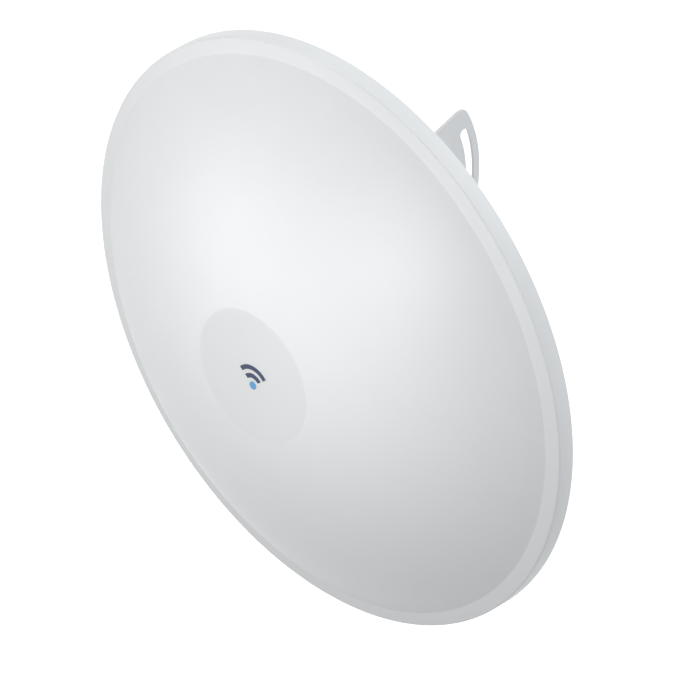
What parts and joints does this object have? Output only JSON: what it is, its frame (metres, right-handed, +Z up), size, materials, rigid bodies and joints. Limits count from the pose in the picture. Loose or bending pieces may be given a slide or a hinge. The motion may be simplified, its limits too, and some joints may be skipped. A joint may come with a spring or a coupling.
{
  "type": "outdoor wireless bridge",
  "caption": "Point-to-point radio dish with a shallow domed radome, a finned electronics housing behind it and a tilting single-sided bracket clamped to a pole.",
  "frame": {"origin": "on the pole's axis, halfway up the clamp", "axes": "+Z up along the pole, the dish looks along -Y, +X towards the free side of the bracket"},
  "size_m": [0.52, 0.3434, 0.52],
  "materials": {
    "radome_plastic": "fine satin moulding, white",
    "badge_navy": "satin",
    "badge_blue": "satin",
    "seal_rubber": "matt",
    "zinc_fasteners": "bright zinc plated",
    "reflector_paint": "fine powder coat, white",
    "feed_aluminium": "turned",
    "feed_dielectric": "machined",
    "housing_plastic": "fine spark texture, white",
    "circuit_board": "solder mask",
    "tinned_sheet": "tinned",
    "thermal_pad": "matt",
    "black_plastic": "satin",
    "button_plastic": "satin",
    "clear_plastic": "clear, polished",
    "cover_paint": "powder coat, light grey",
    "bracket_paint": "powder coat, grey white",
    "ground_brass": "satin"
  },
  "bodies": {
    "pole_mount": {"pole_bracket": "bracket_paint", "friction_washers": "black_plastic", "pivot_bolt": "zinc_fasteners", "pivot_washers": "zinc_fasteners", "pivot_nut": "zinc_fasteners", "lock_bolt": "zinc_fasteners", "lock_washers": "zinc_fasteners", "lock_nut": "zinc_fasteners", "clamp_washers": "zinc_fasteners", "clamp_nuts": "zinc_fasteners"},
    "dish": {"radome_shell": "radome_plastic", "badge_arcs": "badge_navy", "badge_dot": "badge_blue", "rim_gasket": "seal_rubber", "radome_screws": "zinc_fasteners", "dish_reflector": "reflector_paint", "feed_tube": "feed_aluminium", "feed_seal": "seal_rubber", "feed_cone": "feed_dielectric", "sub_reflector": "feed_aluminium", "sub_reflector_screw": "zinc_fasteners", "waveguide_transition": "feed_aluminium", "rear_housing": "housing_plastic", "housing_screws": "zinc_fasteners", "radio_board": "circuit_board", "board_screws": "zinc_fasteners", "shield_can": "tinned_sheet", "thermal_pad": "thermal_pad", "ethernet_jack": "tinned_sheet", "reset_switch": "black_plastic", "led_light_pipes": "clear_plastic", "cover_seal": "seal_rubber", "rear_cover": "cover_paint", "cover_screws": "zinc_fasteners", "vent_plug": "black_plastic", "door_pin": "zinc_fasteners", "dish_bracket": "bracket_paint", "bracket_bolts": "zinc_fasteners", "bracket_nuts": "zinc_fasteners", "ground_screw": "ground_brass"},
    "jaw": {"clamp_jaw": "bracket_paint", "clamp_bolts": "zinc_fasteners"},
    "door": {"port_door": "housing_plastic"},
    "button": {"reset_button": "button_plastic"}
  },
  "joints": [
    {"name": "elevation_tilt", "type": "hinge", "parent": "pole_mount", "child": "dish", "pos_m": [-0.048, -0.052, 0.055], "axis": [-1, 0, 0], "range_deg": [-10, 25]},
    {"name": "clamp_open", "type": "slide", "parent": "pole_mount", "child": "jaw", "axis": [0, 1, 0], "range_m": [0, 0.006]},
    {"name": "port_door_hinge", "type": "hinge", "parent": "dish", "child": "door", "pos_m": [0.032, -0.0603, 0.0054], "axis": [1, 0, 0], "range_deg": [0, 100]},
    {"name": "reset_press", "type": "slide", "parent": "dish", "child": "button", "axis": [0, 0, 1], "range_m": [0, 0.0008], "stiffness_N_per_m": 600, "springref_m": -0.0005}
  ]
}
